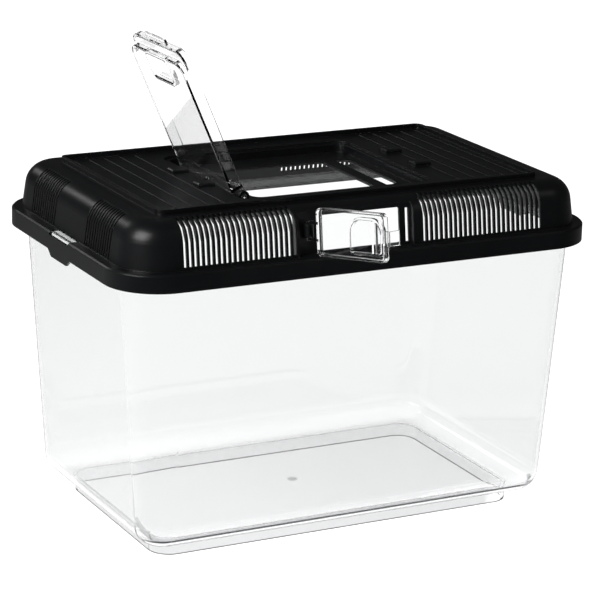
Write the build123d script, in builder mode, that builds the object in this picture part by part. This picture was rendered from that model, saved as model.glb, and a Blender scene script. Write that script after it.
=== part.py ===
from build123d import *
from math import cos, radians, sin, tan
import os

# A table-top pet keeper: clear tank, black vented lid, clear hatch in the lid's top and
# clear door in its front. Millimetres, +Z up, front towards -Y. The origin is the middle
# of the foot's resting plane. The hatch and the door are modelled where they stand open.

# Fits
seatGap = 0.3           # between parts that rest on each other
hingeClearance = 0.1    # radial, pin to bore

# Tank
footInset = 30.4        # from the tank's top outline, at the ends
footSideInset = 33.6
footHeight = 10
footCorner = 16
footWall = 2.4
tankLength = 348.8      # outside, at the top
tankWidth = 227.2
tankHeight = 212
tankCorner = 34
tankDraft = 4
tankWall = 2.2
tankBottomRadius = 17
flangeReach = 6.6       # past the wall at the ends
flangeSideReach = 2.1   # past the wall at the front and back
flangeThickness = 2.4
flangeDrop = 7          # height of the lip that hangs from the flange
flangeLip = 1.6
lugWidth = 33
lugRoom = 0.5           # past the lug in the lid's window

# Lid skirt and shoulder
skirtGap = 2.2          # from the tank's flange to the skirt, at the ends
skirtSideGap = 1
skirtCorner = 38
skirtHeight = 12.9
ledgeThickness = 2.2    # over the tank's rim
skirtEdge = 1.2         # bevel along the skirt's top
lidWall = 1.8
shoulderInset = 7.8     # from the skirt, at the ends
shoulderSideInset = 7.5
shoulderCorner = 29
shoulderDraft = 8
shoulderHeight = 32.3
shoulderRadius = 16.8
clipWidth = 39
clipTipWidth = 27
clipDrop = 4.6

# Lid top
rimInset = 28.35        # from the shoulder's foot, at the ends
rimSideInset = 24.65
rimCorner = 6
rimHeight = 3.5
rimLip = 2.6
ribPitch = 12
ribCount = 5            # in each end field
ribMargin = 8.35        # from the rim to the last rib
ribWidth = 1.2
ribHeight = 0.6
recessLeft = -78
recessRight = 74
recessWidth = 138
recessCorner = 12
ledgeDepth = 1.5
ledgeWidth = 4
recessDepth = 7.3
openingLeft = -54
openingRight = 62
openingWidth = 80
openingCorner = 8
barLeft = 40.6
barRight = 51
curtainDrop = 4.5       # wall that hangs under the edge of the recess's floor
blockLength = 13
blockWidth = 10
blockHeight = 2.8
blockBevel = 0.9
blockSpacing = 43
rightBlockGap = 7.5     # from the recess; the left blocks touch it

# Vent slots
slotPitch = 3.885
slotWidth = 2
slotRise = 1.5          # from the skirt's top to the slots' feet
cornerMargin = 8.8      # left plain beside the shoulder's corners
leftBayMargin = 3
rightBayMargin = 8.6
sideSlotInset = 8       # left plain between the slots and the rim, front and back
endSlotPitch = 3.69
endSlotRise = 0.5
endCornerMargin = 13.61
endSlotCount = 12
endSlotInset = 15
wallSlotHeight = 16.5   # the back's and the right end's slots stop below the bend

# Hatch
hatchOpenAngle = 114
hatchSetback = 12       # from the opening's left side to the hinge line
hatchSideLap = 2.5      # past the opening, front and back
hatchWall = 2
hatchTop = 5.8          # plate above the hinge line
hatchFlange = 9.2       # whole depth
hatchStart = 4          # from the hinge line to the end wall
hatchBarMargin = 4      # of the bar that the lip leaves bare
hatchLipLength = 7
hatchLipTop = 1.8
hatchCorner = 10
hatchTabWidth = 33
hatchTabReach = 4.3
hatchTabTop = 0.4
hatchTabThickness = 1.8
pocketMargin = 2.5      # from the plate's free end
pocketLength = 18.5
pocketWidth = 33
pocketDepth = 3.4
pocketCorner = 3
stopStart = 7
stopThickness = 2.2
stopHeight = 3.2
stopWidth = 16
hatchPinRadius = 2
earGap = 1.5
earThickness = 3.5
earRadius = 4

# Front bay and door
bayDepth = 5
bayHingeRoom = 8        # from the door's hinge line to the bay's side
bayLatchRoom = 1.9
doorwayLeft = -35
doorwayRight = 26
doorwayRise = 1.5       # above the skirt's top
doorwayHeight = 24.2
doorwayCorner = 1.5
doorOpenAngle = 74
doorRise = 2.9          # from the doorway's middle to the door's
doorStart = 9
doorHingeLap = 2        # past the doorway
doorFreeLap = 1
doorHeightLap = 4.4
doorCorner = 4
doorDepth = 4.7
doorWall = 1.6
doorAxisHeight = 3.5    # hinge line above the bay's face
doorPinRadius = 1.5
bailHeight = 13.5
bailThickness = 1.8
knuckleRadius = 3.2
snapGap = 2.3
pullMargin = 3.5        # from the door's free edge
pullLength = 28
pullHeight = 22
pullCorner = 9
pullFootCorner = 1.5
pullDepth = 2.6
gripMargin = 4.5        # from the pull's end
gripWidth = 3
latchReach = 5.6        # past the door's free edge
latchThickness = 1.4
latchHeight = 10
latchDrop = 5           # past the door's inner side
latchRoom = 0.6         # beside the latch in its slot
latchSlotHeight = 23.5

# Worked out from the sizes above: the tank, then the lid that fits it
footLength = tankLength - 2 * footInset
footWidth = tankWidth - 2 * footSideInset
tankRise = tankHeight - footHeight
tankInset = 2 * tankRise * tan(radians(tankDraft))
flangeLength = tankLength + 2 * flangeReach
flangeWidth = tankWidth + 2 * flangeSideReach
flangeBottom = tankHeight - flangeThickness
ledgeBottom = tankHeight + seatGap
skirtTop = ledgeBottom + ledgeThickness
skirtBottom = skirtTop - skirtHeight
skirtLength = flangeLength + 2 * skirtGap + 2 * lidWall
skirtWidth = flangeWidth + 2 * skirtSideGap + 2 * lidWall
shoulderLength = skirtLength - 2 * shoulderInset
shoulderWidth = skirtWidth - 2 * shoulderSideInset
slope = tan(radians(shoulderDraft))
wallAcross = lidWall / cos(radians(shoulderDraft))
lidTop = skirtTop + shoulderHeight
rimLength = shoulderLength - 2 * rimInset
rimWidth = shoulderWidth - 2 * rimSideInset
hollowTop = lidTop - lidWall
hollowRadius = shoulderRadius - lidWall
ledgeLevel = lidTop - ledgeDepth
recessFloor = lidTop - recessDepth
floorBottom = recessFloor - lidWall
lugStart = shoulderLength / 2 + seatGap
lugEnd = skirtLength / 2 - lidWall - seatGap

# The hatch over the opening, and the door over the doorway
hatchWidth = openingWidth + 2 * hatchSideLap
hatchBottom = hatchTop - hatchFlange
hatchHingeX = openingLeft - hatchSetback
hatchHingeZ = recessFloor + seatGap - hatchBottom
hatchLipEnd = barRight - hatchBarMargin - hatchHingeX
hatchPlateEnd = hatchLipEnd - hatchLipLength
hatchTabEnd = hatchLipEnd + hatchTabReach
pocketStart = hatchPlateEnd - pocketMargin - pocketLength
earInner = hatchWidth / 2 + earGap
doorwayBottom = skirtTop + doorwayRise
doorwayTop = doorwayBottom + doorwayHeight
doorHingeX = doorwayLeft - doorHingeLap - doorStart
doorMiddle = (doorwayBottom + doorwayTop) / 2 + doorRise
doorLength = doorwayRight - doorwayLeft + doorHingeLap + doorFreeLap
doorHeight = doorwayHeight + 2 * doorHeightLap
doorBack = seatGap - doorAxisHeight
doorFace = doorBack + doorDepth
doorEnd = doorStart + doorLength
latchEnd = doorEnd + latchReach
bayLeft = doorHingeX - bayHingeRoom
bayRight = doorHingeX + latchEnd + bayLatchRoom

# The bay's face leans back with the shoulder, bayDepth behind it. Its plane has X to the
# right and Y up the lean, with its origin level with the door's middle on the hinge line.
outward = Vector(0, -cos(radians(shoulderDraft)), sin(radians(shoulderDraft)))
bayFoot = bayDepth / cos(radians(shoulderDraft)) - shoulderWidth / 2
bayMiddle = Vector(doorHingeX, bayFoot + (doorMiddle - skirtTop) * slope, doorMiddle)
bayPlane = Plane(origin=bayMiddle, x_dir=(1, 0, 0), z_dir=outward)
hingePlane = bayPlane.offset(doorAxisHeight)
doorTurn = radians(doorOpenAngle)
doorPlane = Plane(
    origin=hingePlane.origin,
    x_dir=hingePlane.x_dir * cos(doorTurn) + hingePlane.z_dir * sin(doorTurn),
    z_dir=hingePlane.z_dir * cos(doorTurn) - hingePlane.x_dir * sin(doorTurn),
)

# The hatch's plane: X from the hinge line to the free end, Z out of its outer face.
hatchTurn = radians(hatchOpenAngle)
hatchPlane = Plane(
    origin=(hatchHingeX, 0, hatchHingeZ),
    x_dir=(cos(hatchTurn), 0, sin(hatchTurn)),
    z_dir=(-sin(hatchTurn), 0, cos(hatchTurn)),
)

os.makedirs("parts", exist_ok=True)


# Space inside the tank
with BuildPart() as cavity:
    cavityGrowth = 2 * tankWall * tan(radians(tankDraft)) - 2 * tankWall - tankInset
    with BuildSketch(Plane.XY.offset(footHeight + tankWall)):
        RectangleRounded(
            tankLength + cavityGrowth, tankWidth + cavityGrowth, tankCorner + cavityGrowth / 2
        )
    extrude(amount=tankRise - tankWall, taper=-tankDraft)
    fillet(cavity.faces().sort_by(Axis.Z)[0].edges(), tankBottomRadius - tankWall)

# Tank: drafted shell on a foot ring, with a turned-down flange and a lug at each end
with BuildPart() as tank:
    with BuildSketch(Plane.XY.offset(footHeight)):
        RectangleRounded(
            tankLength - tankInset, tankWidth - tankInset, tankCorner - tankInset / 2
        )
    extrude(amount=tankRise, taper=-tankDraft)
    fillet(tank.faces().sort_by(Axis.Z)[0].edges(), tankBottomRadius)
    add(cavity.part, mode=Mode.SUBTRACT)
    with BuildSketch():
        RectangleRounded(footLength, footWidth, footCorner)
        offset(amount=-footWall, mode=Mode.SUBTRACT)
    extrude(amount=footHeight + tankWall / 2)
    with BuildSketch(Plane.XY.offset(tankHeight)):
        RectangleRounded(flangeLength, flangeWidth, tankCorner + flangeSideReach)
        RectangleRounded(
            tankLength - 2 * tankWall,
            tankWidth - 2 * tankWall,
            tankCorner - tankWall,
            mode=Mode.SUBTRACT,
        )
    extrude(amount=-flangeThickness)
    with BuildSketch(Plane.XY.offset(tankHeight)):
        RectangleRounded(flangeLength, flangeWidth, tankCorner + flangeSideReach)
        offset(amount=-flangeLip, mode=Mode.SUBTRACT)
    extrude(amount=-flangeDrop)
    with BuildSketch(Plane.XY.offset(flangeBottom)):
        with Locations(((lugStart + lugEnd) / 2, 0), (-(lugStart + lugEnd) / 2, 0)):
            Rectangle(lugEnd - lugStart, lugWidth)
    extrude(amount=skirtTop - seatGap - flangeBottom)
tank.part.label = "tank"
export_step(tank.part, "parts/tank.step")


# Hollow under the lid: the shoulder's inside, less what the recess and the bay take up
with BuildPart() as hollow:
    coreGrowth = 2 * (skirtTop - ledgeBottom) * slope - 2 * wallAcross
    with BuildSketch(Plane.XY.offset(ledgeBottom)):
        RectangleRounded(
            shoulderLength + coreGrowth,
            shoulderWidth + coreGrowth,
            shoulderCorner + coreGrowth / 2,
        )
    bendStart = hollowTop - hollowRadius * (1 - sin(radians(shoulderDraft)))
    extrude(amount=bendStart - ledgeBottom, taper=shoulderDraft)
    # two leaning facets follow the shoulder's radius
    knee = (shoulderDraft + 90) / 2
    for low, high in ((shoulderDraft, knee), (knee, 90)):
        rise = hollowRadius * (sin(radians(high)) - sin(radians(low)))
        extrude(hollow.faces().sort_by(Axis.Z)[-1], amount=rise, taper=(low + high) / 2)
    # the recess's tub, its ledge and the curtain under its floor
    recessMiddle = (recessLeft + recessRight) / 2
    recessLength = recessRight - recessLeft
    tubGrowth = 2 * (lidWall - ledgeWidth)
    with BuildSketch(Plane.XY.offset(floorBottom - curtainDrop)):
        with Locations((recessMiddle, 0)):
            RectangleRounded(
                recessLength + tubGrowth, recessWidth + tubGrowth, recessCorner + tubGrowth / 2
            )
    extrude(amount=hollowTop - floorBottom + curtainDrop, mode=Mode.SUBTRACT)
    with BuildSketch(Plane.XY.offset(floorBottom - curtainDrop)):
        with Locations((recessMiddle, 0)):
            RectangleRounded(
                recessLength - 2 * ledgeWidth,
                recessWidth - 2 * ledgeWidth,
                recessCorner - ledgeWidth,
            )
    extrude(amount=curtainDrop)
    with BuildSketch(Plane.XY.offset(ledgeLevel - lidWall)):
        with Locations((recessMiddle, 0)):
            RectangleRounded(
                recessLength + 2 * lidWall, recessWidth + 2 * lidWall, recessCorner + lidWall
            )
    extrude(amount=hollowTop - ledgeLevel + lidWall, mode=Mode.SUBTRACT)
    with BuildSketch(Plane.YZ.offset(bayLeft - lidWall)):
        bayBack = bayFoot + wallAcross
        with BuildLine():
            Polyline(
                (bayBack - (skirtTop - ledgeBottom) * slope, ledgeBottom),
                (bayBack + (lidTop - skirtTop) * slope, lidTop),
                (-shoulderWidth, lidTop),
                (-shoulderWidth, ledgeBottom),
                close=True,
            )
        make_face()
    extrude(amount=bayRight - bayLeft + 2 * lidWall, mode=Mode.SUBTRACT)

# Lid: skirt, leaning shoulder, rim round the flat top, recess and bay over that hollow
with BuildPart() as lid:
    with BuildSketch(Plane.XY.offset(skirtBottom)):
        RectangleRounded(skirtLength, skirtWidth, skirtCorner)
    extrude(amount=skirtTop - skirtBottom)
    chamfer(lid.faces().sort_by(Axis.Z)[-1].edges(), skirtEdge)
    with BuildSketch(Plane.XY.offset(skirtTop)):
        RectangleRounded(shoulderLength, shoulderWidth, shoulderCorner)
    extrude(amount=lidTop - skirtTop, taper=shoulderDraft)
    fillet(lid.faces().sort_by(Axis.Z)[-1].edges(), shoulderRadius)
    with BuildSketch(Plane.XY.offset(lidTop)):
        RectangleRounded(rimLength, rimWidth, rimCorner)
        offset(amount=-rimLip, mode=Mode.SUBTRACT)
    extrude(amount=rimHeight)
    # ribs along Y in the two end fields
    ribMiddle = rimLength / 2 - ribMargin - ribPitch * (ribCount - 1) / 2
    with BuildSketch(Plane.XY.offset(lidTop)):
        with Locations((-ribMiddle, 0), (ribMiddle, 0)):
            with GridLocations(ribPitch, 1, ribCount, 1):
                Rectangle(ribWidth, rimWidth - 2 * rimLip)
    extrude(amount=ribHeight)
    # low blocks with bevelled tops on either side of the recess
    with BuildSketch(Plane.XY.offset(lidTop)):
        leftBlockX = recessLeft - blockLength / 2
        rightBlockX = recessRight + rightBlockGap + blockLength / 2
        with Locations((leftBlockX, 0), (rightBlockX, 0)):
            with GridLocations(1, blockSpacing, 1, 2):
                Rectangle(blockLength, blockWidth)
    extrude(amount=blockHeight)
    chamfer(lid.faces(Select.LAST).group_by(Axis.Z)[-1].edges(), blockBevel)
    # recess with its ledge
    with BuildSketch(Plane.XY.offset(lidTop)):
        with Locations((recessMiddle, 0)):
            RectangleRounded(recessLength, recessWidth, recessCorner)
    extrude(amount=-ledgeDepth, mode=Mode.SUBTRACT)
    with BuildSketch(Plane.XY.offset(lidTop)):
        with Locations((recessMiddle, 0)):
            RectangleRounded(
                recessLength - 2 * ledgeWidth,
                recessWidth - 2 * ledgeWidth,
                recessCorner - ledgeWidth,
            )
    extrude(amount=recessFloor - lidTop, mode=Mode.SUBTRACT)
    # bay in the front, then everything under the skin
    with BuildSketch(Plane.YZ.offset(bayLeft)):
        with BuildLine():
            Polyline(
                (bayFoot, skirtTop),
                (bayFoot + (lidTop - skirtTop) * slope, lidTop),
                (-shoulderWidth, lidTop),
                (-shoulderWidth, skirtTop),
                close=True,
            )
        make_face()
    extrude(amount=bayRight - bayLeft, mode=Mode.SUBTRACT)
    add(hollow.part, mode=Mode.SUBTRACT)
    with BuildSketch(Plane.XY.offset(skirtBottom)):
        RectangleRounded(
            skirtLength - 2 * lidWall, skirtWidth - 2 * lidWall, skirtCorner - lidWall
        )
    extrude(amount=ledgeBottom - skirtBottom, mode=Mode.SUBTRACT)
    # opening in the recess's floor, with the bar across it
    openingMiddle = (openingLeft + openingRight) / 2
    with BuildSketch(Plane.XY.offset(recessFloor)):
        with Locations((openingMiddle, 0)):
            RectangleRounded(openingRight - openingLeft, openingWidth, openingCorner)
        with Locations(((barLeft + barRight) / 2, 0)):
            Rectangle(barRight - barLeft, openingWidth, mode=Mode.SUBTRACT)
    extrude(amount=-lidWall, mode=Mode.SUBTRACT)
    # ears for the hatch's pins
    earHeight = hatchHingeZ - recessFloor
    for side in (-1, 1):
        earPlane = Plane.XZ.offset(side * (earInner + earThickness / 2))
        with BuildSketch(earPlane):
            with Locations((hatchHingeX, hatchHingeZ)):
                Circle(earRadius)
            with Locations((hatchHingeX, recessFloor + earHeight / 2)):
                Rectangle(2 * earRadius, earHeight)
            with Locations((hatchHingeX, hatchHingeZ)):
                Circle(hatchPinRadius + hingeClearance, mode=Mode.SUBTRACT)
        extrude(amount=earThickness / 2, both=True)
    # doorway and the slot for the door's latch
    with BuildSketch(bayPlane):
        lean = cos(radians(shoulderDraft))
        with Locations(((doorwayLeft + doorwayRight) / 2 - doorHingeX, -doorRise / lean)):
            RectangleRounded(doorwayRight - doorwayLeft, doorwayHeight / lean, doorwayCorner)
        slotMiddle = (doorwayBottom - doorMiddle) / lean + latchSlotHeight / 2
        with Locations((latchEnd - latchThickness / 2, slotMiddle)):
            Rectangle(latchThickness + 2 * latchRoom, latchSlotHeight)
    extrude(amount=-2 * lidWall, mode=Mode.SUBTRACT)
    # knuckle that holds the door's pin
    with BuildSketch(Plane(hingePlane.origin, x_dir=hingePlane.x_dir, z_dir=hingePlane.y_dir)):
        Circle(knuckleRadius)
        with Locations((0, doorAxisHeight / 2)):
            Rectangle(2 * knuckleRadius, doorAxisHeight + lidWall / 2)
        Circle(doorPinRadius + hingeClearance, mode=Mode.SUBTRACT)
        with Locations((0, -knuckleRadius)):
            Rectangle(snapGap, 2 * knuckleRadius, mode=Mode.SUBTRACT)
    extrude(amount=bailHeight / 2 - bailThickness - seatGap, both=True)
    # vent slots: the front's and the left end's run up over the bend
    slotFoot = skirtTop + slotRise
    endSlotFoot = skirtTop + endSlotRise
    wallSlotTop = endSlotFoot + wallSlotHeight
    slotLimit = shoulderLength / 2 - shoulderCorner - cornerMargin
    slotRuns = ((-slotLimit, bayLeft - leftBayMargin), (bayRight + rightBayMargin, slotLimit))
    sideInner = rimWidth / 2 + sideSlotInset
    sideReach = shoulderWidth / 2 - sideInner
    for side, slotTop in ((-1, lidTop), (1, wallSlotTop)):
        with BuildSketch(Plane.XY.offset(slotFoot)):
            for first, last in slotRuns:
                count = int((last - first) / slotPitch) + 1
                groupMiddle = first + slotPitch * (count - 1) / 2
                with Locations((groupMiddle, side * (sideInner + sideReach / 2))):
                    with GridLocations(slotPitch, 1, count, 1):
                        Rectangle(slotWidth, sideReach)
        extrude(amount=slotTop - slotFoot, mode=Mode.SUBTRACT)
    endInner = rimLength / 2 + endSlotInset
    endReach = shoulderLength / 2 - endInner
    endSlotLast = shoulderWidth / 2 - shoulderCorner - endCornerMargin
    endMiddle = endSlotLast - endSlotPitch * (endSlotCount - 1) / 2
    for end, slotTop in ((-1, lidTop), (1, wallSlotTop)):
        with BuildSketch(Plane.XY.offset(endSlotFoot)):
            for middle in (-endMiddle, endMiddle):
                with Locations((end * (endInner + endReach / 2), middle)):
                    with GridLocations(1, endSlotPitch, 1, endSlotCount):
                        Rectangle(endReach, slotWidth)
        extrude(amount=slotTop - endSlotFoot, mode=Mode.SUBTRACT)
    # clip at each end: a tab under the skirt and the window for the tank's lug
    for end in (-1, 1):
        clipPlane = Plane.YZ.offset(end * (skirtLength / 2 - lidWall / 2))
        with BuildSketch(clipPlane):
            with BuildLine():
                Polyline(
                    (-clipWidth / 2, skirtBottom + clipDrop),
                    (-clipWidth / 2, skirtBottom),
                    (-clipTipWidth / 2, skirtBottom - clipDrop),
                    (clipTipWidth / 2, skirtBottom - clipDrop),
                    (clipWidth / 2, skirtBottom),
                    (clipWidth / 2, skirtBottom + clipDrop),
                    close=True,
                )
            make_face()
        extrude(amount=lidWall / 2, both=True)
    with BuildSketch(Plane.XY.offset(ledgeBottom - lugRoom)):
        with GridLocations(skirtLength - shoulderInset, 1, 2, 1):
            Rectangle(shoulderInset, lugWidth + 2 * lugRoom)
    extrude(amount=ledgeThickness + lugRoom, mode=Mode.SUBTRACT)
lid.part.label = "lid"
export_step(lid.part, "parts/lid.step")


# Hollow under the hatch's plate and lip, less the pocket's own walls
with BuildPart() as hatchHollow:
    with BuildSketch(hatchPlane.offset(hatchBottom)) as lipHollow:
        with Locations(((hatchStart + hatchLipEnd) / 2, 0)):
            Rectangle(hatchLipEnd - hatchStart - 2 * hatchWall, hatchWidth - 2 * hatchWall)
        fillet(lipHollow.vertices().group_by(Axis.X)[-1], hatchCorner - hatchWall)
    extrude(amount=hatchLipTop - hatchWall - hatchBottom)
    with BuildSketch(hatchPlane.offset(hatchBottom)) as plateHollow:
        with Locations(((hatchStart + hatchPlateEnd) / 2, 0)):
            Rectangle(hatchPlateEnd - hatchStart - 2 * hatchWall, hatchWidth - 2 * hatchWall)
        fillet(plateHollow.vertices().group_by(Axis.X)[-1], hatchCorner - hatchWall)
    extrude(amount=hatchTop - hatchWall - hatchBottom)
    with BuildSketch(hatchPlane.offset(hatchTop - hatchWall)):
        with Locations((pocketStart + pocketLength / 2, 0)):
            RectangleRounded(
                pocketLength + 2 * hatchWall, pocketWidth + 2 * hatchWall, pocketCorner + hatchWall
            )
    extrude(amount=-pocketDepth, mode=Mode.SUBTRACT)

# Hatch: shallow tray with a finger pocket, a lip and a tab at its free end and a pin each side
hatchSides = Plane(hatchPlane.origin, x_dir=hatchPlane.x_dir, z_dir=-hatchPlane.y_dir)
with BuildPart() as hatch:
    with BuildSketch(hatchPlane.offset(hatchBottom)) as lipOutline:
        with Locations(((hatchStart + hatchLipEnd) / 2, 0)):
            Rectangle(hatchLipEnd - hatchStart, hatchWidth)
        fillet(lipOutline.vertices().group_by(Axis.X)[-1], hatchCorner)
    extrude(amount=hatchLipTop - hatchBottom)
    with BuildSketch(hatchPlane.offset(hatchLipTop)) as plateOutline:
        with Locations(((hatchStart + hatchPlateEnd) / 2, 0)):
            Rectangle(hatchPlateEnd - hatchStart, hatchWidth)
        fillet(plateOutline.vertices().group_by(Axis.X)[-1], hatchCorner)
    extrude(amount=hatchTop - hatchLipTop)
    with BuildSketch(hatchPlane.offset(hatchTop)):
        with Locations((pocketStart + pocketLength / 2, 0)):
            RectangleRounded(pocketLength, pocketWidth, pocketCorner)
    extrude(amount=-pocketDepth, mode=Mode.SUBTRACT)
    add(hatchHollow.part, mode=Mode.SUBTRACT)
    # lobes round the pins, then the pins
    pinLength = earInner + earThickness - seatGap - (hatchWidth - hatchWall) / 2
    for side in (-1, 1):
        sidePlane = hatchSides.offset(side * (hatchWidth - hatchWall) / 2)
        with BuildSketch(sidePlane):
            Circle(-hatchBottom)
            with Locations(((hatchStart + hatchWall) / 2, 0)):
                Rectangle(hatchStart + hatchWall, -2 * hatchBottom)
        extrude(amount=hatchWall / 2, both=True)
        with BuildSketch(sidePlane):
            Circle(hatchPinRadius)
        extrude(amount=side * pinLength)
    # tab beyond the lip, and the stop that meets the lid when the hatch is open
    with BuildSketch(hatchPlane.offset(hatchTabTop)):
        with Locations(((hatchTabEnd + hatchLipEnd - hatchWall) / 2, 0)):
            Rectangle(hatchTabEnd - hatchLipEnd + hatchWall, hatchTabWidth)
    extrude(amount=-hatchTabThickness)
    with BuildSketch(hatchPlane.offset(hatchTop - hatchWall / 2)):
        with Locations((stopStart + stopThickness / 2, 0)):
            Rectangle(stopThickness, stopWidth)
    extrude(amount=stopHeight + hatchWall / 2)
hatch.part.label = "hatch"
export_step(hatch.part, "parts/hatch.step")


# Outline of the door's finger pull: an arch with a flat foot
pullMiddle = doorEnd - pullMargin - pullLength / 2
with BuildSketch(doorPlane.offset(doorFace)) as pullOutline:
    with Locations((pullMiddle, 0)):
        Rectangle(pullLength, pullHeight)
    fillet(pullOutline.vertices().group_by(Axis.Y)[-1], pullCorner)
    fillet(pullOutline.vertices().group_by(Axis.Y)[0], pullFootCorner)

# Hollow behind the door's face, less the pull's own walls
with BuildPart() as doorHollow:
    with BuildSketch(doorPlane.offset(doorBack)):
        with Locations((doorStart + doorLength / 2, 0)):
            RectangleRounded(
                doorLength - 2 * doorWall, doorHeight - 2 * doorWall, doorCorner - doorWall
            )
    extrude(amount=doorDepth - doorWall)
    with BuildSketch(doorPlane.offset(doorFace - doorWall)):
        add(pullOutline.sketch_local)
        offset(amount=doorWall)
    extrude(amount=-pullDepth, mode=Mode.SUBTRACT)

# Door: shallow tray with a finger pull, a latch at its free end and a bail with the hinge pin
with BuildPart() as door:
    with BuildSketch(doorPlane.offset(doorBack)):
        with Locations((doorStart + doorLength / 2, 0)):
            RectangleRounded(doorLength, doorHeight, doorCorner)
    extrude(amount=doorDepth)
    extrude(pullOutline.sketch, amount=-pullDepth, mode=Mode.SUBTRACT)
    add(doorHollow.part, mode=Mode.SUBTRACT)
    # upright grip in the pull
    with BuildSketch(doorPlane.offset(doorFace - pullDepth)):
        with Locations((doorEnd - pullMargin - gripMargin - gripWidth / 2, 0)):
            Rectangle(gripWidth, pullHeight)
    extrude(amount=pullDepth)
    # bail: two arms and the pin between them
    with BuildSketch(doorPlane.offset(-doorPinRadius)):
        armMiddle = (doorStart + doorWall) / 2
        with Locations((armMiddle, 0)):
            with GridLocations(1, bailHeight - bailThickness, 1, 2):
                Rectangle(doorStart + doorWall, bailThickness)
    extrude(amount=2 * doorPinRadius)
    with BuildSketch(Plane(doorPlane.origin, x_dir=doorPlane.x_dir, z_dir=doorPlane.y_dir)):
        Circle(doorPinRadius)
    extrude(amount=bailHeight / 2, both=True)
    # latch: a bracket beyond the free edge that turns in through the lid's slot
    latchFoot = doorBack - latchDrop
    with BuildSketch(Plane(doorPlane.origin, x_dir=doorPlane.x_dir, z_dir=-doorPlane.y_dir)):
        with BuildLine():
            Polyline(
                (latchEnd, doorFace),
                (latchEnd, latchFoot),
                (latchEnd - latchThickness, latchFoot),
                (latchEnd - latchThickness, doorFace - latchThickness),
                (doorEnd - doorWall, doorFace - latchThickness),
                (doorEnd - doorWall, doorFace),
                close=True,
            )
        make_face()
    extrude(amount=latchHeight / 2, both=True)
door.part.label = "door"
export_step(door.part, "parts/door.step")
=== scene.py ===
import math
import bpy
from mathutils import Matrix, Vector

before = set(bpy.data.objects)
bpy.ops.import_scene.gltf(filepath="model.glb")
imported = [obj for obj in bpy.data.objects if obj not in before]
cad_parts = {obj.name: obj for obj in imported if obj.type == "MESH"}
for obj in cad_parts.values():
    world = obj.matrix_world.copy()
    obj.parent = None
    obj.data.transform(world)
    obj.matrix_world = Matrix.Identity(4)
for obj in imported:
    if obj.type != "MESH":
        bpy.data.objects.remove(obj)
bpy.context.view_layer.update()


print("frame loaded:", sorted(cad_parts))

# camera: metres, degrees and millimetres of lens; turn is to the right of +Y
view = {"place": (-0.8656, -1.6646, 0.6968), "turn": 27.59, "down": 16.29, "roll": 1.45,
        "lens": 161.24, "sensor": 36.0, "shift": 0.0003, "farthest": 50.0}


def placeCamera():
    turn, down, roll = (math.radians(view[k]) for k in ("turn", "down", "roll"))
    level = math.cos(down)
    ahead = Vector((math.sin(turn) * level, math.cos(turn) * level, -math.sin(down)))
    right = Vector((math.cos(turn), -math.sin(turn), 0.0))
    up = right.cross(ahead)
    tiltedRight = math.cos(roll) * right + math.sin(roll) * up
    tiltedUp = -math.sin(roll) * right + math.cos(roll) * up
    data = bpy.data.cameras.new("camera")
    data.lens = view["lens"]
    data.sensor_width = view["sensor"]
    data.shift_x = view["shift"]
    data.clip_end = view["farthest"]
    camera = bpy.data.objects.new("camera", data)
    bpy.context.scene.collection.objects.link(camera)
    turned = Matrix((tiltedRight, tiltedUp, -ahead)).transposed().to_4x4()
    camera.matrix_world = Matrix.Translation(view["place"]) @ turned
    bpy.context.scene.camera = camera


placeCamera()
print("camera placed")


class Sock:
    # a socket's value, so that shader maths reads as plain expressions
    def __init__(self, nodes, out):
        self.nodes = nodes
        self.out = out

    def math(self, operation, other=None, flip=False):
        a, b = (other, self) if flip else (self, other)
        values = {0: a} if b is None else {0: a, 1: b}
        return self.nodes.node("ShaderNodeMath", {"operation": operation}, values)[0]

    def __add__(self, other): return self.math("ADD", other)
    def __radd__(self, other): return self.math("ADD", other, flip=True)
    def __sub__(self, other): return self.math("SUBTRACT", other)
    def __rsub__(self, other): return self.math("SUBTRACT", other, flip=True)
    def __mul__(self, other): return self.math("MULTIPLY", other)
    def __rmul__(self, other): return self.math("MULTIPLY", other, flip=True)


class Nodes:
    # one node tree: node() is the way in for every node but the maths
    def __init__(self, tree):
        self.tree = tree

    def node(self, kind, settings=None, values=None):
        made = self.tree.nodes.new(kind)
        for key, value in (settings or {}).items():
            setattr(made, key, value)
        for key, value in (values or {}).items():
            self.feed(made.inputs[key], value)
        return [Sock(self, o) for o in made.outputs]

    def feed(self, socket, value):
        if isinstance(value, Sock):
            self.tree.links.new(value.out, socket)
        else:
            socket.default_value = value

    def spread(self, value, low, high, start=0.0, end=1.0):
        return self.node("ShaderNodeMapRange", {}, {
            "Value": value, "From Min": start, "From Max": end, "To Min": low, "To Max": high})[0]


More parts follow.
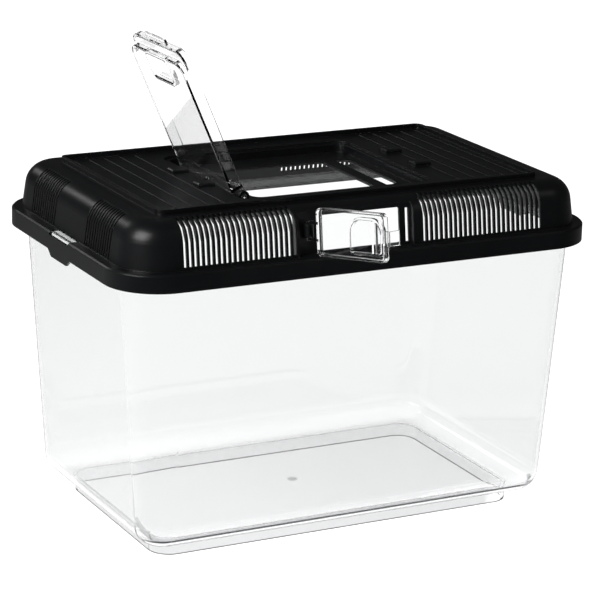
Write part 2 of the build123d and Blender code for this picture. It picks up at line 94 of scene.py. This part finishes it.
class Finish(Nodes):
    # one material with one surface shader
    def __init__(self, name):
        self.material = bpy.data.materials.new(name)
        self.material.use_nodes = True
        super().__init__(self.material.node_tree)
        self.tree.nodes.clear()
        self.surface = self.tree.nodes.new("ShaderNodeBsdfPrincipled")
        end = self.tree.nodes.new("ShaderNodeOutputMaterial")
        self.tree.links.new(self.surface.outputs[0], end.inputs["Surface"])

    def set(self, **values):
        for key, value in values.items():
            self.feed(self.surface.inputs[key.replace("_", " ")], value)

    def place(self):
        return self.node("ShaderNodeTexCoord")[3]

    def noise(self, scale, detail, rough=0.5):
        return self.node("ShaderNodeTexNoise", {}, {
            "Vector": self.place(), "Scale": scale, "Detail": detail, "Roughness": rough})[0]

    def grey(self, value):
        return self.node("ShaderNodeCombineColor", {}, {0: value, 1: value, 2: value})[0]

    def blend(self, factor, first, second, kind="MIX"):
        return self.node("ShaderNodeMix", {"data_type": "RGBA", "blend_type": kind},
                         {0: factor, 6: first, 7: second})[2]

    def rounded(self, radius):
        return self.node("ShaderNodeBevel", {"samples": 4}, {"Radius": radius})[0]

    def bump(self, height, strength, distance, onto):
        return self.node("ShaderNodeBump", {}, {
            "Height": height, "Strength": strength, "Distance": distance, "Normal": onto})[0]


# clear moulded styrene: slow waves from the mould's flow, a light haze, softened edges
clear = {"tint": (0.99, 0.992, 0.996, 1.0), "ior": 1.42, "edge": 0.0006,
         "flow": 9.0, "flowDetail": 2.0, "flowStrength": 0.12, "flowDepth": 0.0004,
         "haze": 60.0, "hazeDetail": 4.0, "hazeRough": 0.6, "hazeRange": (0.35, 0.75),
         "rough": (0.008, 0.035)}


def clearStyrene(name):
    f = Finish(name)
    flow = f.noise(clear["flow"], clear["flowDetail"])
    haze = f.noise(clear["haze"], clear["hazeDetail"], clear["hazeRough"])
    f.set(Base_Color=clear["tint"], IOR=clear["ior"], Transmission_Weight=1.0)
    f.set(Roughness=f.spread(haze, *clear["rough"], *clear["hazeRange"]))
    f.set(Normal=f.bump(flow, clear["flowStrength"], clear["flowDepth"], f.rounded(clear["edge"])))
    return f


# the tank's painted shade (grey walls, greyer foot, dark line at the bend) and its gate mark, in metres from
# the foot's resting plane and from the tank's middle
tank = {"paintedWallShade": (0.856, 0.864, 0.862, 1.0), "wallStart": (0.013, 0.03),
        "paintedFootShade": (0.64, 0.645, 0.65, 1.0), "footTop": (0.0085, 0.0095),
        "footEndX": (0.12, 0.13), "footEndY": (0.06, 0.07),
        "paintedLineTint": (0.03, 0.032, 0.035, 1.0), "paintedLineHeight": 0.0174, "paintedLineHalf": 0.0013,
        "paintedLineStrength": 0.95, "paintedLineFront": (-0.088, -0.078),
        "gateX": -0.0005, "gateY": -0.0035, "gateRadius": 0.0045, "gateStrength": 0.42,
        "solidPart": 0.6}  # share of a mark's half width before it fades


def tankStyrene():
    f = clearStyrene("clearTank")
    x, y, z = f.node("ShaderNodeSeparateXYZ", {}, {0: f.place()})
    # painted shade: a dark line along the front of the bend over the foot, standing in for the refraction
    # there
    away = (z - tank["paintedLineHeight"]).math("ABSOLUTE")
    front = f.spread(y, 1.0, 0.0, *tank["paintedLineFront"])
    paintedLine = front * f.spread(away, tank["paintedLineStrength"], 0.0,
                            tank["paintedLineHalf"] * tank["solidPart"], tank["paintedLineHalf"])
    # round gate mark in the middle of the floor
    fromX, fromY = x - tank["gateX"], y - tank["gateY"]
    out = (fromX * fromX + fromY * fromY).math("SQRT")
    mark = f.spread(out, tank["gateStrength"], 0.0,
                    tank["gateRadius"] * tank["solidPart"], tank["gateRadius"])
    # painted shade: walls a little grey, and the foot's front and left faces greyer, standing in for the
    # shade seen through the clear plastic
    wall = f.spread(z, 0.0, 1.0, *tank["wallStart"])
    foot = f.spread(z, 1.0, 0.0, *tank["footTop"])
    foot = foot * f.spread(x, 1.0, 0.0, *tank["footEndX"]) * f.spread(y, 1.0, 0.0, *tank["footEndY"])
    tone = f.blend(foot, f.blend(wall, clear["tint"], tank["paintedWallShade"]), tank["paintedFootShade"])
    # the painted shade line and the real gate mark, mixed into the tank's colour
    shade = paintedLine.math("MAXIMUM", mark * (1.0 - wall))
    f.set(Base_Color=f.blend(shade, tone, tank["paintedLineTint"]))
    return f


# black moulded lid: fine spark-eroded grain, patchy sheen, softened edges
black = {"color": (0.0032, 0.0035, 0.0039, 1.0), "ior": 1.45, "sheen": 0.3, "edge": 0.0009,
         "patch": 18.0, "patchDetail": 4.0, "patchRough": 0.6, "patchRange": (0.3, 0.7),
         "shade": (0.85, 1.2), "rough": (0.28, 0.36),
         "grain": 2600.0, "grainDetail": 2.0, "grainStrength": 0.25, "grainDepth": 0.00002}


def blackPlastic(name):
    f = Finish(name)
    patch = f.noise(black["patch"], black["patchDetail"], black["patchRough"])
    grain = f.noise(black["grain"], black["grainDetail"])
    shade = f.grey(f.spread(patch, *black["shade"], *black["patchRange"]))
    f.set(Base_Color=f.blend(1.0, black["color"], shade, "MULTIPLY"))
    f.set(Roughness=f.spread(patch, *black["rough"], *black["patchRange"]))
    f.set(IOR=black["ior"], Specular_IOR_Level=black["sheen"])
    f.set(Normal=f.bump(grain, black["grainStrength"], black["grainDepth"], f.rounded(black["edge"])))
    return f


finishes = {"tank": tankStyrene(), "hatch": clearStyrene("clearHatch"),
            "door": clearStyrene("clearDoor"), "lid": blackPlastic("blackLid")}
for nodeName, finish in finishes.items():
    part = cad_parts[nodeName]
    part.data.materials.clear()
    part.data.materials.append(finish.material)
    part.visible_shadow = nodeName == "lid"
print("finishes set")

floor = {"size": 14.0, "drop": 0.0004, "tone": (0.11, 0.13), "speck": 3.0, "speckDetail": 2.0,
         "rough": 0.6, "glow": 1.18}


def buildFloor():
    bpy.ops.mesh.primitive_plane_add(size=floor["size"], location=(0, 0, -floor["drop"]))
    plane = bpy.context.object
    plane.name = "floor"
    plane.visible_glossy = False
    f = Finish("paleFloor")
    speck = f.spread(f.noise(floor["speck"], floor["speckDetail"]), *floor["tone"])
    f.set(Base_Color=f.grey(speck), Roughness=floor["rough"])
    f.set(Emission_Color=(1.0, 1.0, 1.0, 1.0), Emission_Strength=floor["glow"])
    plane.data.materials.append(f.material)


# surroundings: strengths, and the range of directions over which each change runs
sky = {"light": 0.42, "backdrop": 1.0, "through": 0.6,
       "front": 0.01, "back": 0.16, "frontToBack": (-0.6, 0.8),
       "floorBack": 0.9, "floorFrontToBack": (-0.2, 0.6), "floorToSide": (-0.42, -0.28),
       "above": 0.035, "sideToAbove": (-0.1, 0.1)}


def buildSky():
    # pale to the camera, dim in reflections, so the lid stays black and the clear edges show
    world = bpy.data.worlds.new("studio")
    world.use_nodes = True
    n = Nodes(world.node_tree)
    x, y, z = n.node("ShaderNodeSeparateXYZ", {}, {0: n.node("ShaderNodeTexCoord")[0]})
    side = n.spread(y, sky["front"], sky["back"], *sky["frontToBack"])
    below = n.spread(y, sky["front"], sky["floorBack"], *sky["floorFrontToBack"])
    under = n.spread(z, below, side, *sky["floorToSide"])
    glossy = n.spread(z, under, sky["above"], *sky["sideToAbove"])
    rays = {sock.out.name: sock for sock in n.node("ShaderNodeLightPath")}
    strength = sky["light"]
    for ray, value in (("Is Camera Ray", sky["backdrop"]), ("Is Transmission Ray", sky["through"]),
                       ("Is Glossy Ray", glossy)):
        strength = n.node("ShaderNodeMix", {}, {0: rays[ray], 2: strength, 3: value})[0]
    back = world.node_tree.nodes["Background"]
    n.feed(back.inputs["Color"], (1.0, 1.0, 1.0, 1.0))
    n.feed(back.inputs["Strength"], strength)
    bpy.context.scene.world = world


# soft lights: place and aim in metres, power in watts
lights = {
    "leftSoft": {"place": (-1.34, -0.41, 1.1), "aim": (-0.16, -0.1, 0.22), "size": (0.9, 0.9), "power": 30.0},
    "rightSoft": {"place": (1.1, -1.0, 1.5), "aim": (0, 0, 0.2), "size": (0.5, 0.6), "power": 0.7},
    "backSoft": {"place": (-0.75, 1.75, 1.15), "aim": (0, 0, 0.24), "size": (0.5, 0.3), "power": 2.2},
}


def softLight(name, place, aim, size, power):
    data = bpy.data.lights.new(name, "AREA")
    data.shape = "RECTANGLE"
    data.size, data.size_y = size
    data.energy = power
    light = bpy.data.objects.new(name, data)
    light.location = place
    light.visible_camera = False
    light.rotation_euler = (Vector(aim) - Vector(place)).to_track_quat("-Z", "Y").to_euler()
    bpy.context.scene.collection.objects.link(light)


buildFloor()
buildSky()
for lightName, spec in lights.items():
    softLight(lightName, **spec)
bpy.context.scene.view_settings.view_transform = "Standard"
print("stage and lights set")
